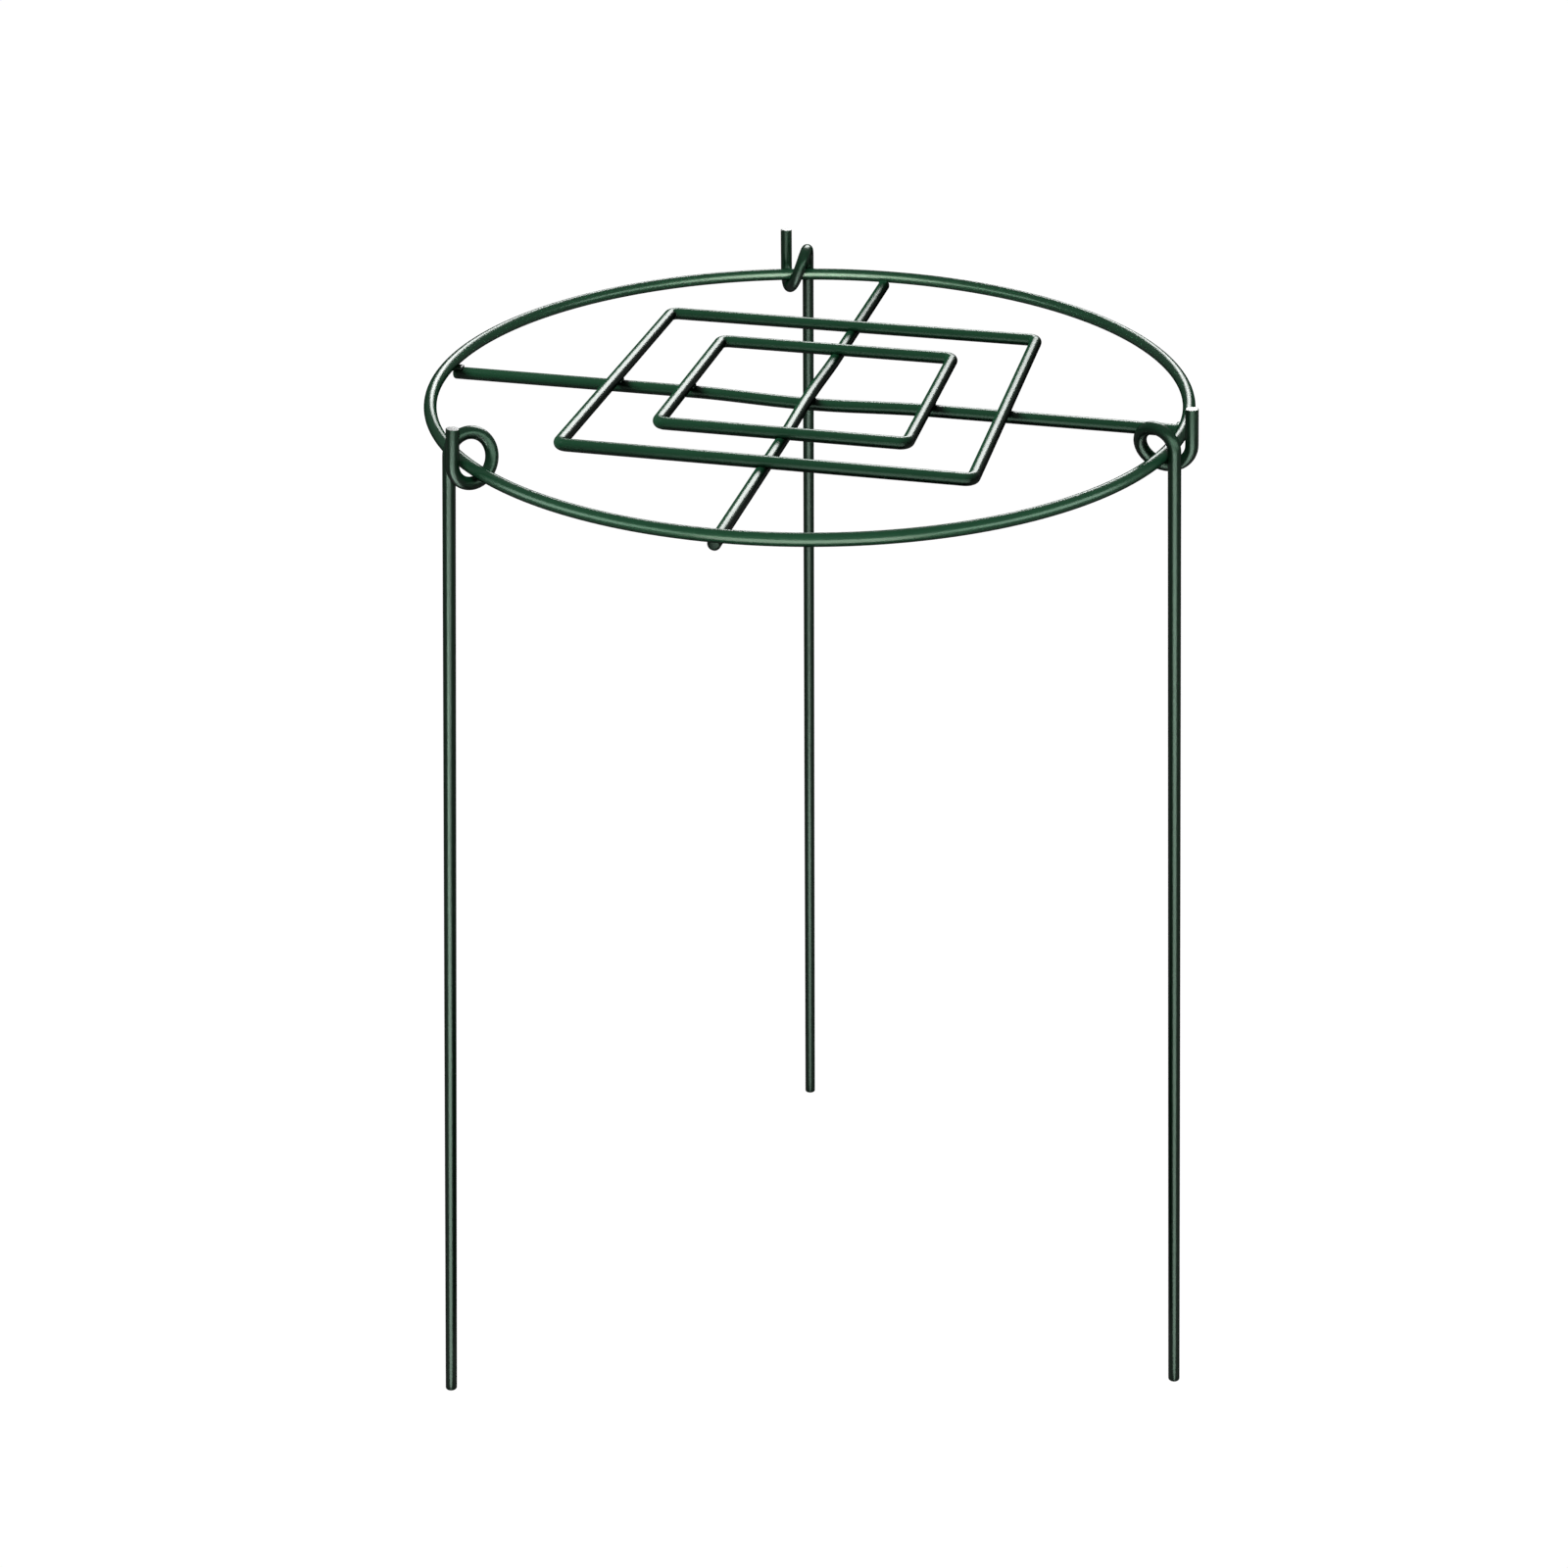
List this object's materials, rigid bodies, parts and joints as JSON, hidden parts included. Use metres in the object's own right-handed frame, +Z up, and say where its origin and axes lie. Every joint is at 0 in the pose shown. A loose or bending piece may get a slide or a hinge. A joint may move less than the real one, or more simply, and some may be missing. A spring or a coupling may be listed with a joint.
{
  "type": "grow through plant support",
  "caption": "Round welded wire grid on slim wire legs that hook round its hoop, for plants to grow up through.",
  "frame": {"origin": "on the ground, under the middle of the whole part's outline; the hoop's own centre is 15.2 mm to -X and 1.7 mm to -Y of it, because the right foot stands out furthest", "axes": "+Z up; +X along the side rod and +Y along the front rod, from the front rod's near end to its far end; the picture looks along +Y turned 13 degrees towards -X"},
  "size_m": [0.3354, 0.3084, 0.4527],
  "materials": {
    "green_coat": "glossy dark green coat on steel wire"
  },
  "bodies": {
    "grid": {"hoop": "green_coat", "outer_square": "green_coat", "inner_square": "green_coat", "front_rod": "green_coat", "side_rod": "green_coat"},
    "leg_back": {"leg_back": "green_coat"},
    "leg_left": {"leg_left": "green_coat"},
    "leg_right": {"leg_right": "green_coat"}
  },
  "joints": [
    {"name": "leg_back_fold", "type": "hinge", "parent": "grid", "child": "leg_back", "pos_m": [-0.05399, 0.14318, 0.4348], "axis": [-0.9659, -0.2588, 0], "range_deg": [-93.7, 83.3]},
    {"name": "leg_left_fold", "type": "hinge", "parent": "grid", "child": "leg_left", "pos_m": [-0.11993, -0.10906, 0.4348], "axis": [0.7157, -0.6984, 0], "range_deg": [-85.8, 88.7]},
    {"name": "leg_right_fold", "type": "hinge", "parent": "grid", "child": "leg_right", "pos_m": [0.12986, -0.04002, 0.4348], "axis": [0.2554, 0.9668, 0], "range_deg": [-85.8, 86.2]}
  ]
}
